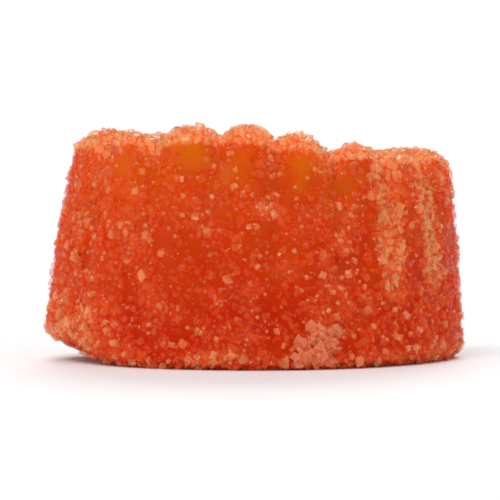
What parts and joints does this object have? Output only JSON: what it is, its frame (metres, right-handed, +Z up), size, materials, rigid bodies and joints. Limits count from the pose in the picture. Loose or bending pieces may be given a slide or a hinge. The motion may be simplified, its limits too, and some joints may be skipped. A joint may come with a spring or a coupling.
{
  "type": "orange slice candy",
  "caption": "Half-moon orange jelly candy with a ribbed curved side and a coat of granulated sugar, lying on its larger flat face.",
  "frame": {"origin": "middle of the underside of the candy's bounding box", "axes": "+X along the half-moon's length, +Y towards its straight side, -Y towards its ribbed curved side, +Z up from the flat face it lies on"},
  "size_m": [0.038, 0.0218, 0.0218],
  "materials": {
    "sugared_jelly": "translucent orange jelly, soft satin under a rough coat of granulated sugar"
  },
  "bodies": {
    "root": {"orange_slice": "sugared_jelly"}
  },
  "joints": []
}
